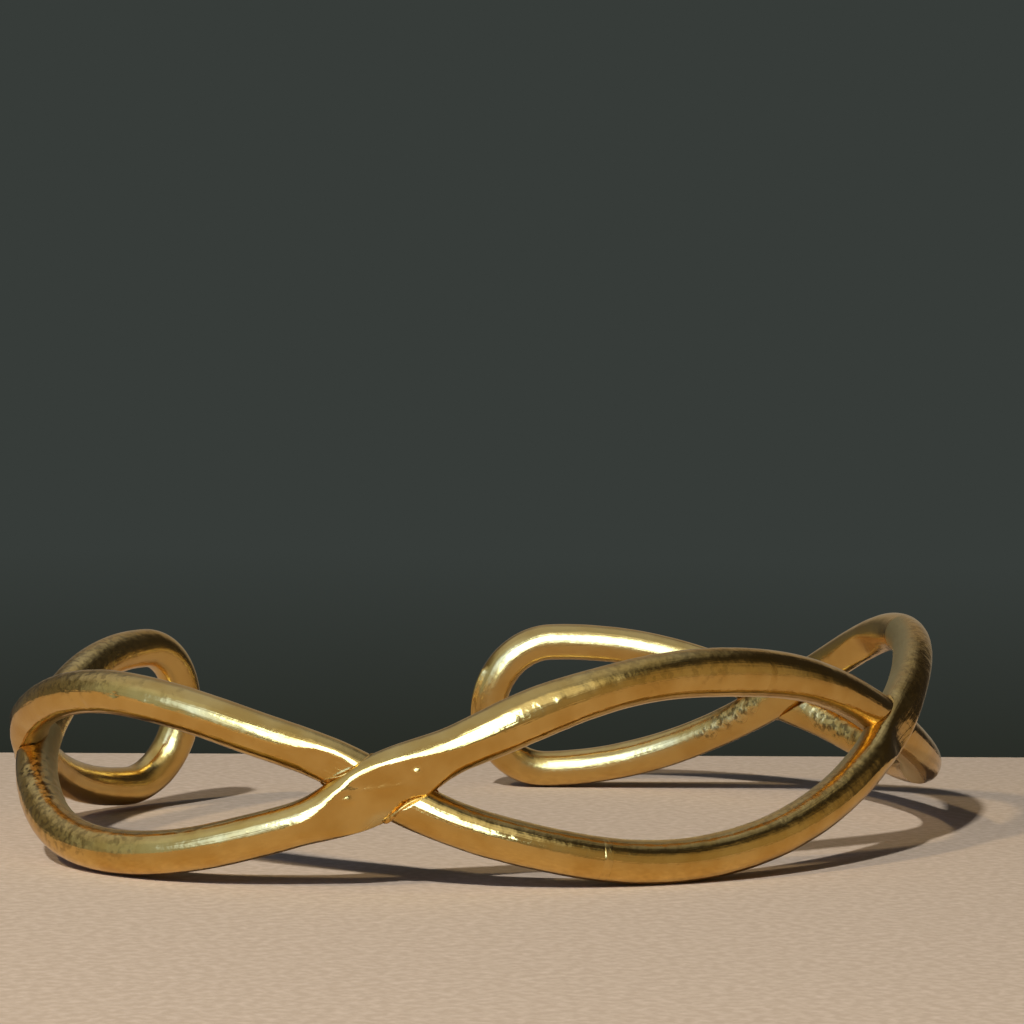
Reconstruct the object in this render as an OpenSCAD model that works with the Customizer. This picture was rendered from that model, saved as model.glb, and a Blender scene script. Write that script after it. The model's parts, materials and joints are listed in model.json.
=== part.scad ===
// Open cuff bracelet of twisted round wire. Two hairpin wires meet end to end at the middle of the
// front, and each wire's two legs cross twice, so that five eyes follow round the cuff.
// Millimetres, +Z up, opening towards +Y, origin at the middle of the underside.

/* [Wire] */
// Diameter of the round wire
wire_d = 2.6; // [2.2:0.1:3]
// Sides of the wire's round section
wire_sides = 14; // [10:2:16]

/* [Cuff] */
// Clear width inside the cuff, left to right
inside_w = 58; // [55:1:66]
// Clear depth inside the cuff, front to back of the oval that it follows
inside_d = 43; // [40:1:50]
// Outward lean of the lower strands, in degrees
flare = 8.5; // [0:0.5:12]

/* [Eyes] */
// Along the cuff, from the middle of the front eye to the tallest place of a side eye
side_pitch = 36.4; // [33:0.2:40]
// Along the cuff, from the tallest place of a side eye to that of the end eye
end_pitch = 31.2; // [28:0.2:34]
// Length of the rounded end, beyond the tallest place of the end eye
end_round = 4.5; // [3.6:0.1:6]
// Delay of the twist at the right front crossing, in degrees
right_front_lag = 5; // [0:1:8]
// Advance of the twist at the right back crossing, in degrees
right_back_lead = 8; // [0:1:10]
// Height of the front eye, between wire centres
front_eye_h = 11; // [9:0.1:13]
// Height of the side eyes, between wire centres
side_eye_h = 9.1; // [8:0.1:11]
// Height of the end eyes, between wire centres
end_eye_h = 9.5; // [8:0.1:11]

/* [Set from wear] */
// Rise of the right side, and fall of the left side, above the level cuff
side_rise = 0.9; // [0:0.05:1.2]
// Rise of the front above the level cuff
front_rise = 0.45; // [0:0.05:0.8]
// Rise of the left end, and fall of the right end, where the cuff has been twisted
rack = 0.72; // [0:0.02:1]
// Rise of both sides over the front and back
saddle = 0.35; // [0:0.05:0.6]

/* [Crossings] */
// Step of each strand out of the cuff's middle line where two strands cross
weave = 0.3; // [0.2:0.02:0.5]
// Thickness of the solder film between crossing strands
film_t = 0.16; // [0.1:0.02:0.24]
// Depth of the pressed flat on the open face of each crossing strand
press_d = 0.2; // [0:0.02:0.3]
// Growth of each strand's half width where it is pressed flat
press_wide = 0.25; // [0:0.05:0.4]
// Run over which a pressed strand comes back to the full round
press_run = 4; // [3:0.2:5]
// Length of the solder web in each sharp corner of a crossing
web_l = 0.9; // [0.6:0.1:1.4]
// Thickness of the solder web, through the cuff
web_t = 0.8; // [0.4:0.1:1.2]

/* [Front seams] */
// Place of the upper seam along the cuff, from the middle of the front eye
upper_seam_at = 5.9; // [0:0.1:8]
// Place of the lower seam along the cuff, from the middle of the front eye
lower_seam_at = -6.3; // [-8:0.1:0]
// Length of solder between the two wires' ends
seam_w = 0.5; // [0.4:0.05:0.8]
// Space left between solder and wire
seat_gap = 0.05; // [0.04:0.01:0.08]

/* [Hidden] */
wire_r = wire_d / 2;
plan_a = inside_w / 2 + wire_r + weave;
plan_b = inside_d / 2 + wire_r + weave;
end_at = side_pitch + end_pitch;
lean = tan(flare);
leg_steps = 60;
turn_steps = 14;
film_steps = 8;
web_steps = 3;
// Distance of the film's rim from the edges of the two strands
film_inset = 0.3;

// Angle round the oval for each length along it, counted from the middle of the front
oval_step = 1;
function oval(a) = [plan_a * sin(a), -plan_b * cos(a)];
arc_table = [
    for (a = 0, l = 0; a <= 180; l = l + norm(oval(a + oval_step) - oval(a)), a = a + oval_step) [l, a]];
function oval_angle(s) = sign(s) * lookup(abs(s), arc_table);
function oval_out(a) = let (v = [sin(a) / plan_a, -cos(a) / plan_b]) v / norm(v);

// Turn of the twist at each length: half a turn from one eye's tallest place to the next
function in_front(s) = abs(s) < side_pitch;
function shift(s) = s < 0 ? 0 : in_front(s) ? -right_front_lag : right_back_lead;
function even_turn(s) = 180 * (in_front(s) ? abs(s) / side_pitch : (abs(s) - side_pitch) / end_pitch);
function twist(s) = (in_front(s) ? 0 : 180) + even_turn(s) + shift(s) * sin(even_turn(s));
// Half the eye height at each length, positive where the first strand is the upper one
function half_eye(s) = let (h = in_front(s) ? front_eye_h : end_eye_h)
    (h - side_eye_h) / 4 + cos(twist(s)) * (h + side_eye_h) / 4;
function step_out(s) = -sign(s) * weave * sin(twist(s));
function rise(a) = side_rise * sin(a) + front_rise * cos(a) + rack * sin(2 * a) - saddle * cos(2 * a);

// A place on the cuff: length along it, height from its middle line, and distance out of its surface
function spot(s, z, out) = let (a = oval_angle(s), n = oval_out(a), h = out * cos(flare) - lean * z)
    [oval(a)[0] + h * n[0], oval(a)[1] + h * n[1], rise(a) + z + out * sin(flare)];
function surface_normal(s) = let (n = oval_out(oval_angle(s)) * cos(flare)) [n[0], n[1], sin(flare)];

// Crossings: where the half height is zero, the slope of the strands there, and half the lapped length
function zero_turn(h) = acos((side_eye_h - h) / (side_eye_h + h));
function solve_turn(goal, by, t, tries) =
    tries == 0 ? t : solve_turn(goal, by, goal - by * sin(t), tries - 1);
function front_cross(hand) = let (goal = zero_turn(front_eye_h))
    hand * side_pitch * solve_turn(goal, shift(hand), goal, 8) / 180;
function back_cross(hand) = let (goal = 180 - zero_turn(end_eye_h))
    hand * (side_pitch + end_pitch * solve_turn(goal, shift(hand * end_at), goal, 8) / 180);
function nearest_cross(s) = let (hand = s < 0 ? -1 : 1) in_front(s) ? front_cross(hand) : back_cross(hand);
function slope(s) = abs(half_eye(s + 0.1) - half_eye(s - 0.1)) / 0.2;
function lap_rim(c) = (wire_r + press_wide) * sqrt(1 + pow(slope(c), 2));
function lap_half(c) = lap_rim(c) / slope(c);
// The same rim on the steeper of the two strands, where the cuff's own rise adds to the slope
function rise_slope(s) = abs(rise(oval_angle(s + 0.1)) - rise(oval_angle(s - 0.1))) / 0.2;
function corner_rim(s) = (wire_r + press_wide) * sqrt(1 + pow(slope(s) + rise_slope(s), 2));

// Section of a strand: a circle pressed flat against the other strand and on its open face.
// side is +1 where the strand lies outside the other one, -1 where it lies inside.
function ease(s, c) = min(1, max(0, abs(s - c) - lap_half(c)) / press_run);
function fade(s, c) = let (e = ease(s, c)) 1 - e * e * (3 - 2 * e);
function pressed(x, out, side, s, c) = let (
        seat = film_t / 2 + seat_gap - side * out - pow(ease(s, c), 2) * wire_d,
        face = wire_r - press_d * fade(s, c))
    side * min(face, max(seat, side * x));
function section(s, q, tangent) = let (
        out = q * step_out(s),
        side = out < 0 ? -1 : 1,
        c = nearest_cross(s),
        n0 = surface_normal(s),
        n = let (v = n0 - (n0 * tangent) * tangent) v / norm(v),
        b = cross(tangent, n) * (wire_r + press_wide * fade(s, c)),
        centre = spot(s, q * half_eye(s), out))
    [for (k = [0:wire_sides - 1]) let (t = 360 * (k + 0.5) / wire_sides)
        centre + pressed(wire_r * cos(t), out, side, s, c) * n + sin(t) * b];

// Route of one hairpin wire: out along the first strand, round the end, back along the second strand.
// hand is -1 for the left wire and +1 for the right one, q is +1 for the first strand and -1 for the second.
function seam_at(q) = q > 0 ? upper_seam_at : lower_seam_at;
function leg_start(hand, q) = seam_at(q) + hand * (seam_w / 2 + seat_gap);
function leg_s(hand, q, i) = let (from = leg_start(hand, q)) from + (hand * end_at - from) * i / leg_steps;
function turn_centre(hand, t) = spot(hand * (end_at + end_round * sin(t)), end_eye_h / 2 * cos(t), 0);
function leg_centre(s, q) = spot(s, q * half_eye(s), q * step_out(s));
function unit(v) = v / norm(v);
function leg_tangent(s, q, way) = way * unit(leg_centre(s + 0.05, q) - leg_centre(s - 0.05, q));
function turn_tangent(hand, t) = unit(turn_centre(hand, t + 1) - turn_centre(hand, t - 1));
function turn_section(hand, t) = let (
        w = turn_tangent(hand, t),
        n0 = surface_normal(hand * (end_at + end_round * sin(t))),
        n = unit(n0 - (n0 * w) * w),
        b = cross(w, n))
    [for (k = [0:wire_sides - 1]) let (u = 360 * (k + 0.5) / wire_sides)
        turn_centre(hand, t) + wire_r * (cos(u) * n + sin(u) * b)];
function leg_section(hand, q, i) = let (s = leg_s(hand, q, i)) section(s, q, leg_tangent(s, q, hand * q));
function wire_rings(hand) = concat(
    [for (i = [0:leg_steps]) leg_section(hand, 1, i)],
    [for (i = [1:turn_steps - 1]) turn_section(hand, 180 * i / turn_steps)],
    [for (i = [leg_steps:-1:0]) leg_section(hand, -1, i)]);
left_rings = wire_rings(-1);
right_rings = wire_rings(1);

// The cuff stands on its lowest places, with the origin under the middle of its box
all_points = [for (ring = concat(left_rings, right_rings)) each ring];
function low(k) = min([for (p = all_points) p[k]]);
function high(k) = max([for (p = all_points) p[k]]);
home = [-(low(0) + high(0)) / 2, -(low(1) + high(1)) / 2, -low(2)];

// Skin over a row of rings, closed at both ends
module loft(rings) {
    n = len(rings[0]);
    last = len(rings) - 1;
    polyhedron(
        points = [for (ring = rings) each ring],
        faces = concat(
            [[for (k = [0:n - 1]) k]],
            [for (i = [0:last - 1], k = [0:n - 1]) let (e = (k + 1) % n)
                each [[i * n + k, i * n + n + k, i * n + n + e], [i * n + k, i * n + n + e, i * n + e]]],
            [[for (k = [n - 1:-1:0]) last * n + k]]));
}

// Bar of solder along the cuff, through stations of [length, half height, half thickness]
module solder_bar(stations) {
    corners = [[1, 1], [1, -1], [-1, -1], [-1, 1]];
    loft([for (p = stations) [for (c = corners) spot(p[0], c[1] * p[1], c[0] * p[2])]]);
}

// Solder of one crossing: the film between the strands and a web in each of the two sharp corners
module crossing_solder(c) {
    m = slope(c);
    reach = lap_half(c) - 2 * film_inset / m;
    rim = corner_rim(c);
    web_from = (rim + 2 * seat_gap) / m;
    color("darkgoldenrod") translate(home) {
        solder_bar([for (i = [0:film_steps]) let (u = reach * (2 * i / film_steps - 1))
            [c + u, lap_rim(c) - film_inset - m * abs(u), film_t / 2]]);
        for (way = [-1, 1])
            solder_bar([for (i = [0:web_steps])
                let (u = web_from + web_l * (way > 0 ? i : web_steps - i) / web_steps, s = c + way * u)
                [s, max(seat_gap, abs(half_eye(s)) - rim - seat_gap), web_t / 2]]);
    }
}

// Solder between the two wires' ends on the upper (q = 1) or lower (q = -1) strand
module front_seam(q) {
    w = leg_tangent(seam_at(q), q, 1);
    color("darkgoldenrod") translate(home + leg_centre(seam_at(q), q))
        rotate([0, acos(w[2]), atan2(w[1], w[0])]) cylinder(r = wire_r, h = seam_w, center = true, $fn = 48);
}

module left_wire() { color("goldenrod") translate(home) loft(left_rings); }
module right_wire() { color("goldenrod") translate(home) loft(right_rings); }
module upper_seam() { front_seam(1); }
module lower_seam() { front_seam(-1); }
module left_front_solder() { crossing_solder(front_cross(-1)); }
module left_back_solder() { crossing_solder(back_cross(-1)); }
module right_front_solder() { crossing_solder(front_cross(1)); }
module right_back_solder() { crossing_solder(back_cross(1)); }

left_wire();
right_wire();
upper_seam();
lower_seam();
left_front_solder();
left_back_solder();
right_front_solder();
right_back_solder();
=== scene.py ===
import json
import math
import bpy
import numpy as np
from mathutils import Matrix, Vector, noise


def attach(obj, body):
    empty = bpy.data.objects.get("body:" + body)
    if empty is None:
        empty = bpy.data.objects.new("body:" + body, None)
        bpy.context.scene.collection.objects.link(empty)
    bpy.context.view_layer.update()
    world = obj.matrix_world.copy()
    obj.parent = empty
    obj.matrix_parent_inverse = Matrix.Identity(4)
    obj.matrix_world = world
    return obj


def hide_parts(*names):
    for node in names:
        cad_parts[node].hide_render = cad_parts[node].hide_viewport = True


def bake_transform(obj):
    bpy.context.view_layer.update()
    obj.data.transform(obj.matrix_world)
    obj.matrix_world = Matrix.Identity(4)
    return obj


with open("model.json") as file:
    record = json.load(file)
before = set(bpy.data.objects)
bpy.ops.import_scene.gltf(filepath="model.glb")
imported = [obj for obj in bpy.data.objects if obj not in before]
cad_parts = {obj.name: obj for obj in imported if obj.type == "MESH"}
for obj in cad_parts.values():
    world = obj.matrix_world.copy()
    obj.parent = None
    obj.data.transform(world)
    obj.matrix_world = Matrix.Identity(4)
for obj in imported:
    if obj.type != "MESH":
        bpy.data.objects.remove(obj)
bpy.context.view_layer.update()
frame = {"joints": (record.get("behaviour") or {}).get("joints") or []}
scene = bpy.context.scene
mm = 0.001


# the cuff's route in millimetres and degrees, the same sizes as the solids
cuff = {
    "wireRadius": 1.3, "insideWidth": 58, "insideDepth": 43, "flare": 8.5,
    "sidePitch": 36.4, "endPitch": 31.2, "endRound": 4.5,
    "rightFrontLag": 5, "rightBackLead": 8,
    "frontEye": 11, "sideEye": 9.1, "endEye": 9.5,
    "sideRise": 0.9, "frontRise": 0.45, "rack": 0.72, "saddle": 0.35,
    "weave": 0.3,
    "upperSeam": 5.9, "lowerSeam": -6.3, "seamWidth": 0.5,
}
wireR = cuff["wireRadius"]
planA = cuff["insideWidth"] / 2 + wireR + cuff["weave"]
planB = cuff["insideDepth"] / 2 + wireR + cuff["weave"]
endAt = cuff["sidePitch"] + cuff["endPitch"]
flare = math.radians(cuff["flare"])

ovalSteps = np.radians(np.arange(0, 181))
ovalPoints = np.stack([planA * np.sin(ovalSteps), -planB * np.cos(ovalSteps)], 1)
ovalRun = np.concatenate([[0], np.cumsum(np.linalg.norm(np.diff(ovalPoints, axis=0), axis=1))])


def unit(v):
    return v / np.linalg.norm(v, axis=-1, keepdims=True)


def ovalAngle(s):
    return np.sign(s) * np.interp(np.abs(s), ovalRun, ovalSteps)


def ovalOut(a):
    return unit(np.stack([np.sin(a) / planA, -np.cos(a) / planB], -1))


# turn of the two strands round each other at length s, half a turn from eye to eye
def twist(s):
    inFront = np.abs(s) < cuff["sidePitch"]
    even = np.pi * np.where(inFront, np.abs(s) / cuff["sidePitch"],
                            (np.abs(s) - cuff["sidePitch"]) / cuff["endPitch"])
    late = np.where(s < 0, 0, np.where(inFront, -cuff["rightFrontLag"], cuff["rightBackLead"]))
    return np.where(inFront, 0, np.pi) + even + np.radians(late) * np.sin(even)


def halfEye(s):
    tall = np.where(np.abs(s) < cuff["sidePitch"], cuff["frontEye"], cuff["endEye"])
    return (tall - cuff["sideEye"]) / 4 + np.cos(twist(s)) * (tall + cuff["sideEye"]) / 4


# how steeply a strand climbs, measured over a fifth of a millimetre
def eyeSlope(s):
    return np.abs(halfEye(s + 0.1) - halfEye(s - 0.1)) / 0.2


def stepOut(s):
    return -np.sign(s) * cuff["weave"] * np.sin(twist(s))


def rise(a):
    return (cuff["sideRise"] * np.sin(a) + cuff["frontRise"] * np.cos(a)
            + cuff["rack"] * np.sin(2 * a) - cuff["saddle"] * np.cos(2 * a))


# a place on the cuff: length along it, height from its middle line, distance out of its surface
def spot(s, z, out):
    a = ovalAngle(s)
    n = ovalOut(a)
    h = out * math.cos(flare) - math.tan(flare) * z
    return np.stack([planA * np.sin(a) + h * n[..., 0], -planB * np.cos(a) + h * n[..., 1],
                     rise(a) + z + out * math.sin(flare)], -1)


def surfaceNormal(s):
    n = ovalOut(ovalAngle(s)) * math.cos(flare)
    return np.concatenate([n, np.full(n.shape[:-1] + (1,), math.sin(flare))], -1)


# the two axes of a section across the way: out of the cuff's surface, and up it
def sectionAxes(s, way):
    n = surfaceNormal(s)
    n = unit(n - (n * way).sum(1, keepdims=True) * way)
    return n, np.cross(way, n)


def sectionRing(turn, n, b):
    return np.cos(turn)[None, :, None] * n[:, None] + np.sin(turn)[None, :, None] * b[:, None]


# the hinge stands at the middle of the front, so it says where the cuff's own middle is
hinge = np.array(frame["joints"][0]["pos_m"]) / mm
home = hinge - spot(np.array(0.0), 0.0, 0.0)

# crossings, where the two strands are level: left back, left front, right front, right back
allRun = np.linspace(-endAt, endAt, 40001)
level = np.nonzero(np.diff(np.sign(halfEye(allRun))))[0]
crossAt = allRun[level]
crossSlope = eyeSlope(crossAt)
print("crossings at", np.round(crossAt, 1).tolist(), "mm along the cuff")


# value noise in the wire's own millimetres, one number for each point, features about size mm across
def roughness(points, size, shift=0.0):
    flat = (points.reshape(-1, 3) + shift) / size
    return np.array([noise.noise(Vector(p)) for p in flat]).reshape(points.shape[:-1])


def addMesh(name, points, faces, material):
    mesh = bpy.data.meshes.new(name)
    mesh.from_pydata((points * mm).tolist(), [], faces)
    mesh.polygons.foreach_set("use_smooth", [len(f) == 4 for f in faces])
    mesh.update()
    rims = {tuple(sorted((f[i - 1], f[i]))) for f in faces if len(f) > 4 for i in range(len(f))}
    if rims:
        mesh.edges.foreach_set("use_edge_sharp", [tuple(sorted(e)) in rims for e in mesh.edge_keys])
    piece = bpy.data.objects.new(name, mesh)
    scene.collection.objects.link(piece)
    mesh.materials.append(material)
    return piece


# quads over a grid of rings, with an end face on an open tube or a join on a closed one
def tubeFaces(rings, sides, closed):
    faces = []
    for i in range(rings if closed else rings - 1):
        j = (i + 1) % rings
        for k in range(sides):
            e = (k + 1) % sides
            faces.append((i * sides + k, j * sides + k, j * sides + e, i * sides + e))
    if not closed:
        faces.append(tuple(range(sides)))
        faces.append(tuple((rings - 1) * sides + k for k in reversed(range(sides))))
    return faces


# sRGB hex to linear
def linear(hexColor):
    srgb = [int(hexColor[i:i + 2], 16) / 255 for i in (1, 3, 5)]
    return [c / 12.92 if c <= 0.04045 else ((c + 0.055) / 1.055) ** 2.4 for c in srgb] + [1]


# adds a node, sets its properties, then links or sets its inputs
def addNode(tree, kind, inputs={}, **settings):
    node = tree.nodes.new(kind)
    for name, value in settings.items():
        setattr(node, name, value)
    for name, value in inputs.items():
        if isinstance(value, bpy.types.NodeSocket):
            tree.links.new(value, node.inputs[name])
        else:
            node.inputs[name].default_value = value
    return node


def newMaterial(name):
    material = bpy.data.materials.new(name)
    material.use_nodes = True
    tree = material.node_tree
    return material, tree, tree.nodes["Principled BSDF"]


# gold-plated brass wire, drawn, bent by hand and tumbled: a warm mirror with hairlines that smear each
# reflection round the wire, soft dents, dull pitted places beside the torch work, and a rougher side
# towards the wrist that is also painted darker as painted shade. Sizes in millimetres, and the noise levels
# between which one tone turns into the next
goldWire = {
    "gold": "#EEC574", "worn": "#DFB15D", "patch": 2.5, "wornTo": 0.35, "goldFrom": 0.6,
    "roughHigh": 0.17, "roughLow": 0.09, "highTo": 0.3, "lowFrom": 0.7, "smear": 0.2,
    "pit": "#75592A", "pitSize": 0.4, "pitDepth": 0.06, "pitFrom": 0.52, "pitFull": 0.42,
    "roughPitted": 0.34, "innerShade": "#BFA368", "roughInside": 0.52,
    "dentSize": 0.6, "dentDepth": 0.024, "hairline": 0.14, "hairRun": 5, "hairDepth": 0.012,
}


def goldWireMaterial():
    material, tree, shader = newMaterial("goldPlatedWireTumbled")
    place = addNode(tree, "ShaderNodeAttribute", attribute_name="alongWire").outputs["Vector"]
    pitted = addNode(tree, "ShaderNodeAttribute", attribute_name="pitted").outputs["Fac"]
    patch = addNode(tree, "ShaderNodeTexNoise",
                    {"Vector": place, "Scale": 1 / goldWire["patch"], "Detail": 3}).outputs["Fac"]
    tone = addNode(tree, "ShaderNodeValToRGB", {"Fac": patch})
    tone.color_ramp.elements[0].position = goldWire["wornTo"]
    tone.color_ramp.elements[0].color = linear(goldWire["worn"])
    tone.color_ramp.elements[1].position = goldWire["goldFrom"]
    tone.color_ramp.elements[1].color = linear(goldWire["gold"])
    pits = addNode(tree, "ShaderNodeTexNoise", {
        "Vector": place, "Scale": 1 / goldWire["pitSize"], "Detail": 3}).outputs["Fac"]
    pitDark = addNode(tree, "ShaderNodeMapRange", {
        "Value": pits, "From Min": goldWire["pitFrom"], "From Max": goldWire["pitFull"]}).outputs["Result"]
    pitMask = addNode(tree, "ShaderNodeMath", {0: pitDark, 1: pitted}, operation="MULTIPLY").outputs[0]
    color = addNode(tree, "ShaderNodeMix", {
        0: pitMask, 6: tone.outputs["Color"], 7: linear(goldWire["pit"])}, data_type="RGBA").outputs[2]
    # painted shade: the inner faces, where the wire faces itself, are painted a darker gold and are also
    # made rougher
    inside = addNode(tree, "ShaderNodeAttribute", attribute_name="inside").outputs["Fac"]
    color = addNode(tree, "ShaderNodeMix", {
        0: inside, 6: color, 7: linear(goldWire["innerShade"])}, data_type="RGBA").outputs[2]
    polish = addNode(tree, "ShaderNodeMapRange", {
        "Value": patch, "From Min": goldWire["highTo"], "From Max": goldWire["lowFrom"],
        "To Min": goldWire["roughHigh"], "To Max": goldWire["roughLow"]}).outputs["Result"]
    sided = addNode(tree, "ShaderNodeMix", {0: inside, 2: polish, 3: goldWire["roughInside"]}).outputs[0]
    rough = addNode(tree, "ShaderNodeMix", {0: pitted, 2: sided, 3: goldWire["roughPitted"]}).outputs[0]
    # hairlines follow the wire, so the pattern is squeezed round it and drawn out along it
    squeeze = addNode(tree, "ShaderNodeVectorMath", {
        0: place, 1: (1 / goldWire["hairline"], 1 / goldWire["hairline"], 1 / goldWire["hairRun"])},
        operation="MULTIPLY").outputs[0]
    hair = addNode(tree, "ShaderNodeTexNoise", {"Vector": squeeze, "Scale": 1, "Detail": 2}).outputs["Fac"]
    dent = addNode(tree, "ShaderNodeTexNoise", {
        "Vector": place, "Scale": 1 / goldWire["dentSize"], "Detail": 2}).outputs["Fac"]
    dentBump = addNode(tree, "ShaderNodeBump", {
        "Height": dent, "Distance": goldWire["dentDepth"] * mm}).outputs["Normal"]
    hairBump = addNode(tree, "ShaderNodeBump", {
        "Height": hair, "Distance": goldWire["hairDepth"] * mm, "Normal": dentBump}).outputs["Normal"]
    pitBump = addNode(tree, "ShaderNodeBump", {
        "Height": pits, "Strength": pitted, "Distance": goldWire["pitDepth"] * mm,
        "Normal": hairBump}).outputs["Normal"]
    shader.inputs["Metallic"].default_value = 1
    shader.inputs["Anisotropic"].default_value = goldWire["smear"]
    roundWire = addNode(tree, "ShaderNodeTangent", direction_type="UV_MAP", uv_map="roundWire")
    tree.links.new(roundWire.outputs["Tangent"], shader.inputs["Tangent"])
    tree.links.new(color, shader.inputs["Base Color"])
    tree.links.new(rough, shader.inputs["Roughness"])
    tree.links.new(pitBump, shader.inputs["Normal"])
    return material


# gold-coloured solder, cast by the torch and only lightly cleaned: pitted, duller and a little yellower
goldSolder = {"gold": "#E9B45E", "dark": "#9A7030", "darkTo": 0.36, "goldFrom": 0.52, "rough": 0.34,
              "pitSize": 0.3, "pitDepth": 0.03}


def goldSolderMaterial():
    material, tree, shader = newMaterial("goldSolderPitted")
    place = addNode(tree, "ShaderNodeTexCoord").outputs["Object"]
    pits = addNode(tree, "ShaderNodeTexNoise", {
        "Vector": place, "Scale": 1 / (goldSolder["pitSize"] * mm), "Detail": 4})
    tone = addNode(tree, "ShaderNodeValToRGB", {"Fac": pits.outputs["Fac"]})
    tone.color_ramp.elements[0].position = goldSolder["darkTo"]
    tone.color_ramp.elements[0].color = linear(goldSolder["dark"])
    tone.color_ramp.elements[1].position = goldSolder["goldFrom"]
    tone.color_ramp.elements[1].color = linear(goldSolder["gold"])
    bump = addNode(tree, "ShaderNodeBump", {
        "Height": pits.outputs["Fac"], "Strength": 1, "Distance": goldSolder["pitDepth"] * mm})
    shader.inputs["Metallic"].default_value = 1
    shader.inputs["Roughness"].default_value = goldSolder["rough"]
    tree.links.new(tone.outputs["Color"], shader.inputs["Base Color"])
    tree.links.new(bump.outputs["Normal"], shader.inputs["Normal"])
    return material


goldWireFinish = goldWireMaterial()
goldSolderFinish = goldSolderMaterial()
print("materials made")


# where the hand-bent strands leave the even route: strand (0 is both), middle and half length, then how far
# outwards, upwards and how much wider. Millimetres
handBends = [
    {"strand": 0, "at": 22, "half": 12, "out": -0.45, "up": 0, "wide": 0},
    {"strand": 1, "at": 3.5, "half": 7, "out": 0, "up": -0.28, "wide": 0.18},
    {"strand": 1, "at": -10.5, "half": 4, "out": 0, "up": 0.15, "wide": 0.22},
    {"strand": 1, "at": -16, "half": 3, "out": 0, "up": 0.2, "wide": 0},
    {"strand": 1, "at": -22.5, "half": 3, "out": 0, "up": -0.22, "wide": 0},
    {"strand": -1, "at": -22.5, "half": 3.5, "out": 0, "up": 0.32, "wide": 0},
    {"strand": -1, "at": -50, "half": 5, "out": 0.2, "up": 0, "wide": 0},
    {"strand": 1, "at": -45, "half": 4, "out": -0.18, "up": 0, "wide": 0},
    {"strand": -1, "at": -15, "half": 4, "out": 0, "up": -0.25, "wide": 0},
]


def handBend(s, strand, what):
    total = 0 * s
    for bend in handBends:
        mine = (strand == bend["strand"]) | (bend["strand"] == 0)
        total = total + np.where(mine, bend[what] * np.exp(-((s - bend["at"]) / bend["half"]) ** 2), 0)
    return total


def strandHeight(s, strand):
    return strand * halfEye(s) + handBend(s, strand, "up")


# two hairpin wires of round section, with their rings closer together at the crossings. Where two strands
# cross, each is let into the other up to the middle, and the outer one is wider. Then come the waves of
# hand work, the hammered faces and the pits. Millimetres
wirePiece = {
    "legRings": 520, "turnRings": 80, "sides": 112, "closer": 2.5, "closeRun": 3,
    "seat": 0.03, "wall": 0.4, "rimShare": 0.9, "clearShare": 2.2, "wideRun": 4.8, "innerWide": 0.2,
    "waveSize": 4.0, "waveDepth": 0.02, "rippleSize": 1.2, "rippleDepth": 0.01, "buttRun": 3,
    "flatFrom": 0.05, "soften": 3, "ridgeHalf": 0.16, "faintest": 0.001, "steepest": 0.35, "tipRun": 0.5,
    "patchCore": 0.5, "ragged": 0.5, "raggedSize": 0.8, "pitSize": 0.5, "pitDepth": 0.04,
}
# the side towards the wrist, rougher and painted darker as painted shade: up to this length from the front
# it begins at the crest of the wire, and farther back it is weak and lies only on the face itself
shadedWristSide = {"frontRun": {-1: 52, 1: 34}, "frontBegins": 0.42, "frontRate": 1.6,
             "backBegins": -0.2, "backRate": 1.4, "backShare": 0.28}
# how much wider the outer strand is hammered at each crossing
widened = [0.3, 0.65, 0.3, 0.3]
# hammered faces: wire, strand, place along the cuff, degrees round the wire, depth, and run to the left and
# right. Below a level line the face leans back by the fold's degrees, and a low ridge stands on that line
blows = [
    {"hand": -1, "strand": 1, "at": -20.0, "round": -17, "depth": 0.72, "left": 2.0, "right": 3.2,
     "line": -0.1, "fold": 5, "ridge": 0.06},
    {"hand": -1, "strand": -1, "at": -22.0, "round": 14, "depth": 0.3, "left": 1.8, "right": 2.2,
     "line": 0, "fold": 0, "ridge": 0},
    {"hand": -1, "strand": -1, "at": -51.8, "round": 8, "depth": 0.3, "left": 2.0, "right": 2.2,
     "line": 0, "fold": 5, "ridge": 0},
    {"hand": 1, "strand": -1, "at": 18.6, "round": -1, "depth": 0.36, "left": 1.5, "right": 2.2,
     "line": 0, "fold": 5, "ridge": 0},
    {"hand": 1, "strand": 1, "at": 50.4, "round": 6, "depth": 0.3, "left": 2.0, "right": 2.0,
     "line": 0, "fold": 5, "ridge": 0},
    {"hand": 1, "strand": -1, "at": 41.0, "round": 205, "depth": 0.3, "left": 2.4, "right": 2.4,
     "line": 0, "fold": 0, "ridge": 0},
]
# dents, and raised spots where the depth is below zero: wire, strand (0 is the tip of the end loop), place
# along the cuff, degrees round the wire, spread along and round it, depth
marks = [
    {"hand": 1, "strand": 0, "at": 72.0, "round": 255, "spread": 0.25, "depth": -0.2},
    {"hand": -1, "strand": -1, "at": -38.7, "round": 40, "spread": 0.3, "depth": 0.08},
    {"hand": -1, "strand": -1, "at": -35.8, "round": 4, "spread": 0.22, "depth": 0.06},
    {"hand": -1, "strand": -1, "at": -33.6, "round": 8, "spread": 0.18, "depth": -0.05},
    {"hand": -1, "strand": 1, "at": -30.2, "round": 44, "spread": 0.16, "depth": -0.06},
    {"hand": -1, "strand": 1, "at": -29.1, "round": 46, "spread": 0.16, "depth": -0.06},
    {"hand": -1, "strand": 1, "at": -8.9, "round": 14, "spread": 0.2, "depth": -0.05},
    {"hand": -1, "strand": 1, "at": -20.9, "round": 6, "spread": 0.27, "depth": -0.13},
    {"hand": -1, "strand": 1, "at": -17.35, "round": 348, "spread": 0.28, "depth": -0.12},
]
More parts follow.
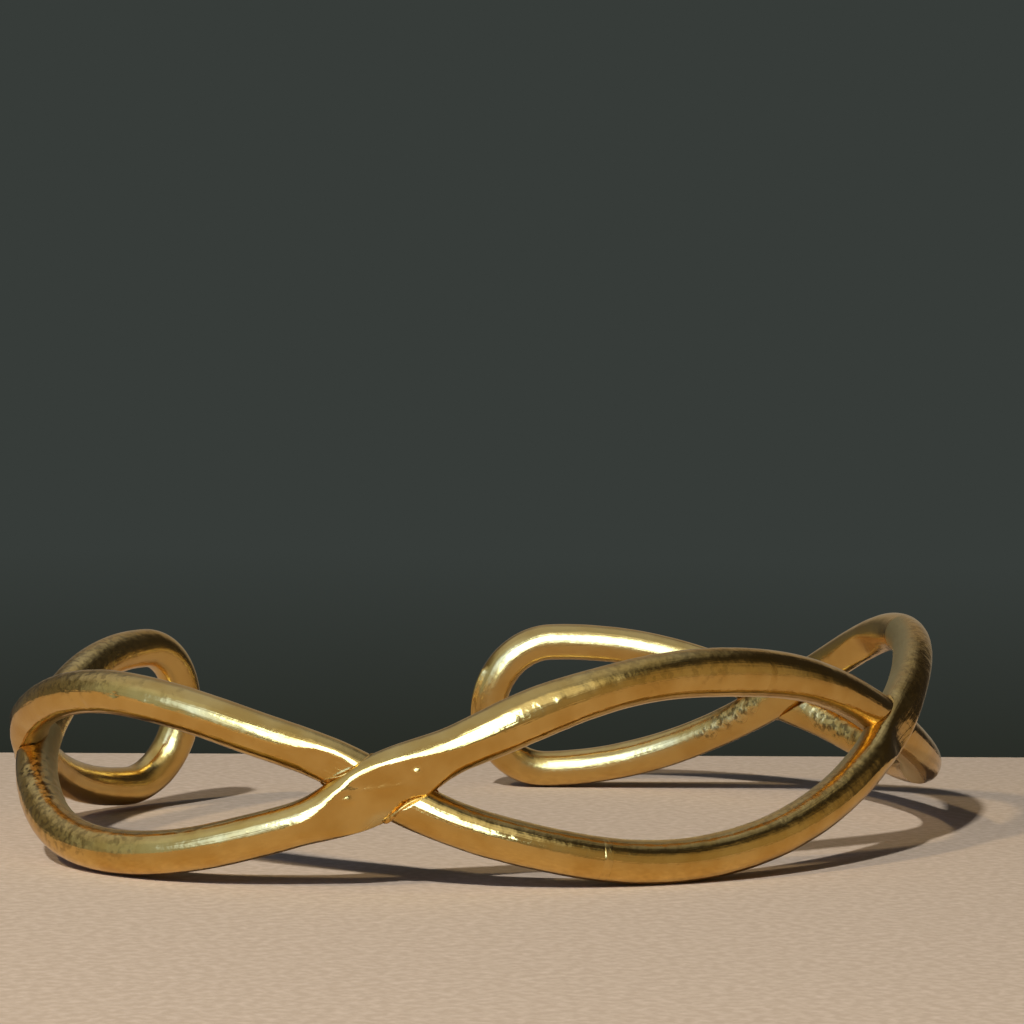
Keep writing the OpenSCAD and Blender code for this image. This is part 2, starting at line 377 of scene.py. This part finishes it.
# pitted and mottled stretches: wire, strand, middle and half length, degrees round the wire and half of
# them, and how strong
pittedPatches = [
    {"hand": 1, "strand": -1, "at": 53.2, "half": 3.6, "round": 150, "halfRound": 55, "strength": 1},
    {"hand": 1, "strand": 1, "at": 45.4, "half": 3.6, "round": 205, "halfRound": 40, "strength": 1},
    {"hand": -1, "strand": 1, "at": -46.0, "half": 4.4, "round": 80, "halfRound": 62, "strength": 1},
    {"hand": -1, "strand": -1, "at": -42, "half": 10, "round": -40, "halfRound": 65, "strength": 0.45},
    {"hand": -1, "strand": 1, "at": -1, "half": 9, "round": 50, "halfRound": 80, "strength": 0.25},
    {"hand": -1, "strand": 1, "at": -40, "half": 9, "round": 40, "halfRound": 90, "strength": 0.45},
    {"hand": -1, "strand": 1, "at": -61, "half": 8, "round": 120, "halfRound": 90, "strength": 0.4},
    {"hand": 1, "strand": -1, "at": 27, "half": 9, "round": 60, "halfRound": 100, "strength": 0.35},
    {"hand": 1, "strand": -1, "at": 11, "half": 9, "round": 75, "halfRound": 80, "strength": 0.38},
]


def smooth(x):
    x = np.clip(x, 0, 1)
    return x * x * (3 - 2 * x)


# even out a grid of depths over its neighbours, round the wire and along it
def soften(depth, times):
    for _ in range(times):
        depth = (np.roll(depth, 1, 1) + 2 * depth + np.roll(depth, -1, 1)) / 4
        along = np.pad(depth, ((1, 1), (0, 0)), mode="edge")
        depth = (along[:-2] + 2 * depth + along[2:]) / 4
    return depth


# places for the rings along a leg, closer together at the crossings
def legSteps(start, end, rings):
    even = np.linspace(start, end, 4001)
    away = np.min(np.abs(even[:, None] - crossAt[None]), 1)
    density = 1 + wirePiece["closer"] * np.exp(-(away / wirePiece["closeRun"]) ** 2)
    count = np.cumsum(density)
    return np.interp(np.linspace(count[0], count[-1], rings), count, even)


def wireRoute(hand):
    start = cuff["seamWidth"] / 2 * hand
    t = np.linspace(0, np.pi, wirePiece["turnRings"])[1:-1]
    legs = wirePiece["legRings"]
    s = np.concatenate([legSteps(cuff["upperSeam"] + start, hand * endAt, legs),
                        hand * (endAt + cuff["endRound"] * np.sin(t)),
                        legSteps(hand * endAt, cuff["lowerSeam"] + start, legs)])
    strand = np.concatenate([np.ones(legs), np.zeros(len(t)), -np.ones(legs)])
    turnHigh = np.concatenate([np.zeros(legs), cuff["endEye"] / 2 * np.cos(t), np.zeros(legs)])
    return s, strand, strandHeight(s, strand) + turnHigh, strand * stepOut(s)


farOff = 1e3  # millimetres, for a point on another strand


# how far each point lies from the middle of a mark or patch: along the cuff, and in degrees round the wire
def apartFrom(spec, hand, strand, s, turn):
    if spec["hand"] != hand:
        return None
    along = np.where(strand == spec["strand"], s - spec["at"], farOff)
    if spec["strand"] == 0:
        atTip = s * hand > spec["at"] * hand - wirePiece["tipRun"]
        along = np.where((strand == 0) & atTip, 0, farOff)
    return along[:, None], (np.degrees(turn)[None] - spec["round"] + 180) % 360 - 180


def hairpinWire(name, hand):
    s, strand, z, out = wireRoute(hand)
    centre = spot(s, z, out + handBend(s, strand, "out"))
    way = unit(np.gradient(centre, axis=0))
    n, b = sectionAxes(s, way)
    sides = wirePiece["sides"]
    turn = 2 * np.pi * (np.arange(sides) + 0.5) / sides
    shape = (len(s), sides)
    onLeg = (strand != 0)[:, None]
    side = np.where(out < 0, -1, 1)[:, None]
    near = np.argmin(np.abs(s[:, None] - crossAt[None]), 1)
    fromCross = np.abs(s - crossAt[near])
    spread = 1 - smooth(fromCross / wirePiece["wideRun"])
    wide = (np.array(widened)[near] * spread)[:, None]
    outerWide, innerWide = wide, wide * wirePiece["innerWide"]
    mine = np.where(side > 0, outerWide, innerWide) + handBend(s, strand, "wide")[:, None]
    y = (wireR + np.where(onLeg, mine, 0)) * np.sin(turn)
    x = np.broadcast_to(wireR * np.cos(turn), shape)

    # let into the other strand: how far each point lies from that strand's middle line
    a = ovalAngle(s)
    ovalWay = unit(np.stack([planA * np.cos(a), planB * np.sin(a), 0 * a], -1))
    pointS = s[:, None] + y * (b * ovalWay).sum(1)[:, None]
    pointZ = z[:, None] + y * b[:, 2:3] / math.cos(flare)
    slant = eyeSlope(s)
    apart = np.abs(pointZ - strandHeight(pointS, -strand[:, None])) / np.sqrt(1 + slant ** 2)[:, None]
    rim = wireR + np.where(side > 0, innerWide, outerWide)
    lift = smooth((apart - wirePiece["rimShare"] * rim) / wirePiece["wall"])
    seat = wirePiece["seat"] - side * out[:, None] - lift * wirePiece["clearShare"] * wireR
    x = np.where(onLeg, side * np.maximum(seat, side * x), x)

    outward = sectionRing(turn, n, b)
    points = centre[:, None] + x[..., None] * n[:, None] + y[..., None] * b[:, None]

    # hammered faces: the part of the strand that stands out of each face is pressed back into it
    pressed = np.zeros(shape)
    for blow in blows:
        run = np.where(s < blow["at"], blow["left"], blow["right"])
        share = np.where(strand == blow["strand"], np.exp(-((s - blow["at"]) / run) ** 2), 0)[:, None]
        face = math.radians(blow["round"])
        fold = math.tan(math.radians(blow["fold"])) * np.maximum(blow["line"] - pointZ, 0)
        ridge = blow["ridge"] * np.exp(-((pointZ - blow["line"]) / wirePiece["ridgeHalf"]) ** 2)
        proud = x * math.cos(face) + y * math.sin(face) - wireR + (blow["depth"] + fold - ridge) * share
        facing = np.cos(turn - face)
        struck = (blow["hand"] == hand) & (share > wirePiece["faintest"]) & (facing > 0)
        deep = proud / np.maximum(facing, wirePiece["steepest"])
        pressed = np.maximum(pressed, np.where(struck, deep, 0))
    pressed = soften(pressed, wirePiece["soften"])

    run = np.concatenate([[0], np.cumsum(np.linalg.norm(np.diff(centre, axis=0), axis=1))])
    # the same places on the straight wire, with each half in its own stretch of noise
    straight = np.stack([np.broadcast_to(wireR * np.cos(turn), shape),
                         np.broadcast_to(wireR * np.sin(turn), shape),
                         np.broadcast_to(run[:, None] + 100 * hand, shape)], -1)
    flush = smooth(np.minimum(run, run[-1] - run) / wirePiece["buttRun"])[:, None]
    waves = roughness(straight, wirePiece["waveSize"]) * wirePiece["waveDepth"]
    waves = waves + roughness(straight, wirePiece["rippleSize"]) * wirePiece["rippleDepth"]
    move = waves * flush * (1 - smooth(pressed / wirePiece["flatFrom"])) - pressed
    for mark in marks:
        found = apartFrom(mark, hand, strand, s, turn)
        if found:
            away = (found[0] ** 2 + (np.radians(found[1]) * wireR) ** 2) / mark["spread"] ** 2
            move = move - mark["depth"] * np.exp(-away)
    pitted = np.zeros(shape)
    for patch in pittedPatches:
        found = apartFrom(patch, hand, strand, s, turn)
        if found:
            edge = np.hypot(found[0] / patch["half"], found[1] / patch["halfRound"])
            edge = edge + wirePiece["ragged"] * roughness(straight, wirePiece["raggedSize"])
            fade = 1 - smooth((edge - wirePiece["patchCore"]) / (1 - wirePiece["patchCore"]))
            pitted = np.maximum(pitted, patch["strength"] * fade)
    move = move + pitted * roughness(straight, wirePiece["pitSize"]) * wirePiece["pitDepth"]

    points = (points + move[..., None] * outward + home).reshape(-1, 3)
    piece = addMesh(name, points, tubeFaces(len(s), sides, False), goldWireFinish)
    inFront = np.abs(s) < shadedWristSide["frontRun"][hand]
    markWire(piece, straight, pitted, inFront, run, sides)
    return piece


# what the wire's finish follows: place on the straight wire, pits, the side towards the wrist (rougher, and
# painted darker as painted shade), and UVs in millimetres round and along it
def markWire(piece, straight, pitted, inFront, run, sides):
    along = piece.data.attributes.new("alongWire", "FLOAT_VECTOR", "POINT")
    along.data.foreach_set("vector", straight.reshape(-1))
    dull = piece.data.attributes.new("pitted", "FLOAT", "POINT")
    dull.data.foreach_set("value", pitted.reshape(-1))
    # the side towards the wrist: a mask for more roughness and for painted shade
    inside = piece.data.attributes.new("inside", "FLOAT", "POINT")
    facing = np.cos(2 * np.pi * (np.arange(sides) + 0.5) / sides)
    front = smooth(shadedWristSide["frontBegins"] - shadedWristSide["frontRate"] * facing)
    back = shadedWristSide["backShare"] * smooth(shadedWristSide["backBegins"] - shadedWristSide["backRate"] * facing)
    inward = np.where(inFront[:, None], front, back)
    inside.data.foreach_set("value", inward.reshape(-1))
    step = 2 * np.pi * wireR / sides
    k = np.arange(sides) * step
    uv = []
    for i in range(len(run) - 1):
        for v in k:
            uv += [v, run[i], v, run[i + 1], v + step, run[i + 1], v + step, run[i]]
    for end in (run[0], run[-1]):
        for v in k:
            uv += [v, end]
    layer = piece.data.uv_layers.new(name="roundWire")
    layer.data.foreach_set("uv", uv)


leftWire = hairpinWire("hairpinWireLeft", -1)
rightWire = hairpinWire("hairpinWireRight", 1)
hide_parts("left_wire")
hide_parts("right_wire")
print("hairpin wires bent:", sum(len(w.data.vertices) for w in (leftWire, rightWire)), "points")

# solder where the two wires' ends butt together: a short plug, flush and a little duller. The lower one
# stands slightly proud at the front, with steep sides: degrees round the wire, and half of them
butt = {"rings": 13, "sides": 112, "proud": 0.014, "steep": 6, "at": 340, "half": 27, "dull": 0.12}


def buttSolder(name, node, strand, at):
    s = at + np.linspace(-0.5, 0.5, butt["rings"]) * cuff["seamWidth"]
    centre = spot(s, strandHeight(s, strand), strand * stepOut(s) + handBend(s, strand, "out"))
    way = unit(np.gradient(centre, axis=0))
    n, b = sectionAxes(s, way)
    turn = 2 * np.pi * (np.arange(butt["sides"]) + 0.5) / butt["sides"]
    edge = np.abs(np.linspace(-1, 1, butt["rings"])) ** butt["steep"]
    mark = np.exp(-(((np.degrees(turn) - butt["at"] + 180) % 360 - 180) / butt["half"]) ** 2)
    radius = wireR + butt["proud"] * (1 - edge)[:, None] * mark * (strand < 0)
    ring = sectionRing(turn, n, b)
    wider = np.sin(turn)[None, :, None] * b[:, None] * handBend(s, strand, "wide")[:, None, None]
    points = (centre[:, None] + radius[..., None] * ring + wider + home).reshape(-1, 3)
    piece = addMesh(name, points, tubeFaces(butt["rings"], butt["sides"], False), goldWireFinish)
    dull = np.full(ring.shape[:2], butt["dull"])
    markWire(piece, wireR * ring + s[:, None, None], dull, np.full(len(s), True), s, butt["sides"])
    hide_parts(node)
    return piece


upperButt = buttSolder("buttSolderUpper", "upper_seam", 1, cuff["upperSeam"])
lowerButt = buttSolder("buttSolderLower", "lower_seam", -1, cuff["lowerSeam"])

# solder bead round the lapped faces of each crossing, a fine fillet with a web in its two sharp corners:
# radii in millimetres, reach in sides of the lapped faces
bead = {
    "rings": 240, "sides": 14, "thin": 0.04, "fillet": 0.055, "corner": 0.06, "web": 0.17, "reach": 0.3,
    "sunk": 0.08, "even": 8, "lump": 0.12, "lumpSize": 0.5, "grainSize": 0.2, "shift": 7,
}


def crossSolder(name, node, body, number):
    c = crossAt[number]
    outer = 1 if stepOut(c) > 0 else -1
    climbs = np.sign(strandHeight(c + 0.1, outer) - strandHeight(c - 0.1, outer))
    slope = math.atan(crossSlope[number])
    # round the lapped faces: up the climbing strand, along the falling one, and back
    w = np.linspace(0, 4, bead["rings"], endpoint=False)
    edge = w.astype(int)
    d = 2 * (w - edge) - 1
    climbing = edge % 2 == 0
    onOuter = climbing == (climbs > 0)
    own = np.where(onOuter, outer, -outer)
    upper = np.where(edge < 2, 1, -1)
    half = wireR + widened[number] * np.where(onOuter, 1, wirePiece["innerWide"])
    lift = np.maximum(wireR * np.sqrt(1 - d ** 2) - cuff["weave"], 0)
    across = (half * np.sqrt(1 - ((lift - cuff["weave"]) / wireR) ** 2) - bead["sunk"]) * upper
    lift = np.maximum(lift - bead["sunk"], 0)
    lean = np.where(climbing, -1, 1)
    along = (wireR / math.sin(2 * slope) * d + wireR / math.tan(2 * slope) * lean) * upper
    s = c + along * math.cos(slope)
    z = np.where(own > 0, strandHeight(s, 1), strandHeight(s, -1)) + across * math.cos(slope)
    s = s + across * math.sin(slope) * lean
    centre = spot(s, z, lift * np.where(onOuter, 1, -1) + handBend(s, 0, "out"))
    for _ in range(bead["even"]):
        centre = (np.roll(centre, 1, 0) + 2 * centre + np.roll(centre, -1, 0)) / 4
    way = unit(np.roll(centre, -1, 0) - np.roll(centre, 1, 0))
    n, b = sectionAxes(s, way)
    toWeb = np.minimum(np.abs(w - 1), np.abs(w - 3)) / bead["reach"]
    toCorner = np.minimum(np.minimum(w, 4 - w), np.abs(w - 2)) / bead["reach"]
    thick = (bead["thin"] + (bead["fillet"] - bead["thin"]) * (1 - d ** 2)
             + (bead["web"] - bead["thin"]) * np.exp(-toWeb ** 2)
             + (bead["corner"] - bead["thin"]) * np.exp(-toCorner ** 2))
    turn = 2 * np.pi * np.arange(bead["sides"]) / bead["sides"]
    ring = sectionRing(turn, n, b)
    place = centre[:, None] + thick[:, None, None] * ring
    lumps = roughness(place, bead["lumpSize"], bead["shift"] * number) + roughness(place, bead["grainSize"])
    radius = thick[:, None] * (1 + bead["lump"] * lumps)
    points = (centre[:, None] + radius[..., None] * ring + home).reshape(-1, 3)
    piece = addMesh(name, points, tubeFaces(bead["rings"], bead["sides"], True), goldSolderFinish)
    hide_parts(node)
    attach(piece, body)
    return piece


crossSolder("crossSolderLeftBack", "left_back_solder", "left_half", 0)
crossSolder("crossSolderLeftFront", "left_front_solder", "left_half", 1)
crossSolder("crossSolderRightFront", "right_front_solder", "right_half", 2)
crossSolder("crossSolderRightBack", "right_back_solder", "right_half", 3)
print("solder run")

for piece in (leftWire, rightWire, upperButt, lowerButt):
    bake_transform(piece)

# camera where the photographer stood: degrees, millimetres, and the image's focal length in pixels
view = {"azimuth": -31.005, "elevation": 7.582, "distance": 204.512, "roll": 0.936,
        "aimRight": 1.109, "aimUp": 21.045, "focalPixels": 3100, "imagePixels": 1024, "sensor": 36}


def aimAt(azimuth, elevation):
    a, e = math.radians(azimuth), math.radians(elevation)
    return Vector((math.sin(a) * math.cos(e), -math.cos(a) * math.cos(e), math.sin(e)))


def addCamera():
    middle = Vector((home[0], home[1], 0))
    a = math.radians(view["azimuth"])
    eye = middle + aimAt(view["azimuth"], view["elevation"]) * view["distance"]
    aside = Vector((math.cos(a), math.sin(a), 0))
    aim = middle + aside * view["aimRight"] + Vector((0, 0, view["aimUp"]))
    forward = (aim - eye).normalized()
    right = forward.cross(Vector((0, 0, 1))).normalized()
    turn = Matrix.Rotation(-math.radians(view["roll"]), 3, forward)
    right = turn @ right
    up = right.cross(forward)
    data = bpy.data.cameras.new("camera")
    data.sensor_width = view["sensor"]
    data.lens = view["focalPixels"] / view["imagePixels"] * view["sensor"]
    data.clip_start = mm
    camera = bpy.data.objects.new("camera", data)
    scene.collection.objects.link(camera)
    axes = Matrix((right, up, -forward)).transposed().to_4x4()
    camera.matrix_world = Matrix.Translation(eye * mm) @ axes
    scene.camera = camera


addCamera()

# pale matt board that the cuff stands on, with a back edge behind it: millimetres from the cuff's middle.
# It is dry and finely grained, and in the metal's reflections it is painted a little darker, as painted
# shade
board = {
    "color": "#BAA68E", "speck": "#CBB79F", "plainTo": 0.4, "speckFrom": 0.75, "shadeInMirror": 0.84,
    "rough": 0.8, "grain": 0.6, "grainDepth": 0.05, "grainShare": 0.5,
    "back": 48, "front": 400, "half": 400, "turned": 5.8,
}


def addBoard():
    material, tree, shader = newMaterial("paleBoardMatt")
    place = addNode(tree, "ShaderNodeTexCoord").outputs["Object"]
    grain = addNode(tree, "ShaderNodeTexNoise", {
        "Vector": place, "Scale": 1 / (board["grain"] * mm), "Detail": 4})
    tone = addNode(tree, "ShaderNodeValToRGB", {"Fac": grain.outputs["Fac"]})
    tone.color_ramp.elements[0].position = board["plainTo"]
    tone.color_ramp.elements[0].color = linear(board["color"])
    tone.color_ramp.elements[1].position = board["speckFrom"]
    tone.color_ramp.elements[1].color = linear(board["speck"])
    bump = addNode(tree, "ShaderNodeBump", {
        "Height": grain.outputs["Fac"], "Strength": board["grainShare"],
        "Distance": board["grainDepth"] * mm})
    # painted shade: the board's colour is dimmed only in rays that the metal reflects
    rays = addNode(tree, "ShaderNodeLightPath").outputs
    dim = addNode(tree, "ShaderNodeMapRange", {
        "Value": rays["Is Glossy Ray"], "To Min": 1, "To Max": board["shadeInMirror"]}).outputs["Result"]
    seen = addNode(tree, "ShaderNodeVectorMath", {0: tone.outputs["Color"], "Scale": dim},
                   operation="SCALE").outputs[0]
    shader.inputs["Roughness"].default_value = board["rough"]
    shader.inputs["Specular IOR Level"].default_value = 0
    tree.links.new(seen, shader.inputs["Base Color"])
    tree.links.new(bump.outputs["Normal"], shader.inputs["Normal"])
    back = aimAt(view["azimuth"] + 180 + board["turned"], 0)
    aside = Vector((0, 0, 1)).cross(back)
    corners = [(-board["front"], -board["half"]), (-board["front"], board["half"]),
               (board["back"], board["half"]), (board["back"], -board["half"])]
    points = np.array([back * c[0] + aside * c[1] for c in corners])
    addMesh("board", points, [(0, 1, 2, 3)], material)


addBoard()

# lamps: where each stands from the cuff, its width, height and distance in metres, and its share of the
# board's light. The card is a white reflector that only the metal sees: its share says how bright it looks
lamps = [
    {"name": "keyLamp", "azimuth": -52, "elevation": 42, "wide": 0.025, "high": 0.025, "away": 0.7,
     "share": 0.625, "tint": "#F7F9FF", "card": False, "roll": 0},
    {"name": "sideLamp", "azimuth": -75, "elevation": 41, "wide": 0.035, "high": 0.035, "away": 0.7,
     "share": 0.22, "tint": "#FFE7BC", "card": False, "roll": 0},
    {"name": "whiteCard", "azimuth": -34, "elevation": 27, "wide": 0.58, "high": 0.59, "away": 0.7,
     "share": 0.8, "tint": "#AACEFF", "card": True, "roll": 27},
]


def addLamps():
    for lamp in lamps:
        data = bpy.data.lights.new(lamp["name"], "AREA")
        data.shape = "RECTANGLE"
        data.size = lamp["wide"]
        data.size_y = lamp["high"]
        data.color = linear(lamp["tint"])[:3]
        slant = math.sin(math.radians(lamp["elevation"]))
        data.energy = lamp["share"] * math.pi ** 2 * lamp["away"] ** 2 / slant
        lit = bpy.data.objects.new(lamp["name"], data)
        scene.collection.objects.link(lit)
        towards = aimAt(lamp["azimuth"], lamp["elevation"])
        roll = Matrix.Rotation(math.radians(lamp["roll"]), 4, "Z")
        aimed = towards.to_track_quat("Z", "Y").to_matrix().to_4x4()
        lit.matrix_world = Matrix.Translation(towards * lamp["away"]) @ aimed @ roll
        lit.visible_diffuse = not lamp["card"]
        lit.visible_glossy = lamp["card"]


addLamps()

# dim room: the colour behind the cuff, lower down and higher up in degrees, the dark all round, and soft
# lights in it, each full over an angle, gone at a wider one, and its colour times its gain. The board takes
# only a share of it, and the metal sees it all
room = {"backdrop": "#373C39", "low": "#282B25", "lowAt": -6.2, "highAt": -2.5, "dark": "#2A2826",
        "onBoard": 0.12}
roomLights = [
    {"azimuth": -160, "elevation": 74, "full": 14, "gone": 52, "color": "#A4AEC0", "gain": 1},
    {"azimuth": -90, "elevation": 24, "full": 10, "gone": 46, "color": "#98AAB8", "gain": 1},
    {"azimuth": -71, "elevation": 26, "full": 5, "gone": 23, "color": "#7FA8FF", "gain": 2.6},
    {"azimuth": -8, "elevation": 50, "full": 6, "gone": 26, "color": "#CED8DE", "gain": 1},
    {"azimuth": -35, "elevation": 28, "full": 25, "gone": 52, "color": "#6E6A60", "gain": 1},
    {"azimuth": 35, "elevation": 4, "full": 15, "gone": 45, "color": "#8C8068", "gain": 1},
    {"azimuth": -150, "elevation": 12, "full": 18, "gone": 46, "color": "#54544E", "gain": 1},
    {"azimuth": 142, "elevation": 16, "full": 12, "gone": 32, "color": "#8A8272", "gain": 1},
]


def addRoom():
    world = bpy.data.worlds.new("dimRoom")
    scene.world = world
    world.use_nodes = True
    tree = world.node_tree
    place = addNode(tree, "ShaderNodeTexCoord").outputs["Generated"]
    rays = addNode(tree, "ShaderNodeLightPath").outputs
    total = addNode(tree, "ShaderNodeCombineXYZ", dict(zip("XYZ", linear(room["dark"])))).outputs[0]
    for light in roomLights:
        towards = aimAt(light["azimuth"], light["elevation"])
        facing = addNode(tree, "ShaderNodeVectorMath", {0: place, 1: towards}, operation="DOT_PRODUCT")
        glow = addNode(tree, "ShaderNodeMapRange", {
            "Value": facing.outputs["Value"], "From Min": math.cos(math.radians(light["gone"])),
            "From Max": math.cos(math.radians(light["full"]))}, interpolation_type="SMOOTHSTEP")
        bright = [c * light["gain"] for c in linear(light["color"])[:3]]
        lit = addNode(tree, "ShaderNodeVectorMath", {0: bright, "Scale": glow.outputs["Result"]},
                      operation="SCALE").outputs[0]
        total = addNode(tree, "ShaderNodeVectorMath", {0: total, 1: lit}, operation="ADD").outputs[0]
    high = addNode(tree, "ShaderNodeSeparateXYZ", {"Vector": place}).outputs["Z"]
    grade = addNode(tree, "ShaderNodeMapRange", {
        "Value": high, "From Min": math.sin(math.radians(room["lowAt"])),
        "From Max": math.sin(math.radians(room["highAt"]))}).outputs["Result"]
    backdrop = addNode(tree, "ShaderNodeMix", {
        0: grade, 6: linear(room["low"]), 7: linear(room["backdrop"])}, data_type="RGBA").outputs[2]
    seen = addNode(tree, "ShaderNodeMix", {0: rays["Is Camera Ray"], 6: total, 7: backdrop},
                   data_type="RGBA").outputs[2]
    share = addNode(tree, "ShaderNodeMapRange", {
        "Value": rays["Is Diffuse Ray"], "To Min": 1, "To Max": room["onBoard"]}).outputs["Result"]
    shader = tree.nodes["Background"]
    tree.links.new(seen, shader.inputs["Color"])
    tree.links.new(share, shader.inputs["Strength"])


addRoom()
scene.view_settings.view_transform = "Standard"
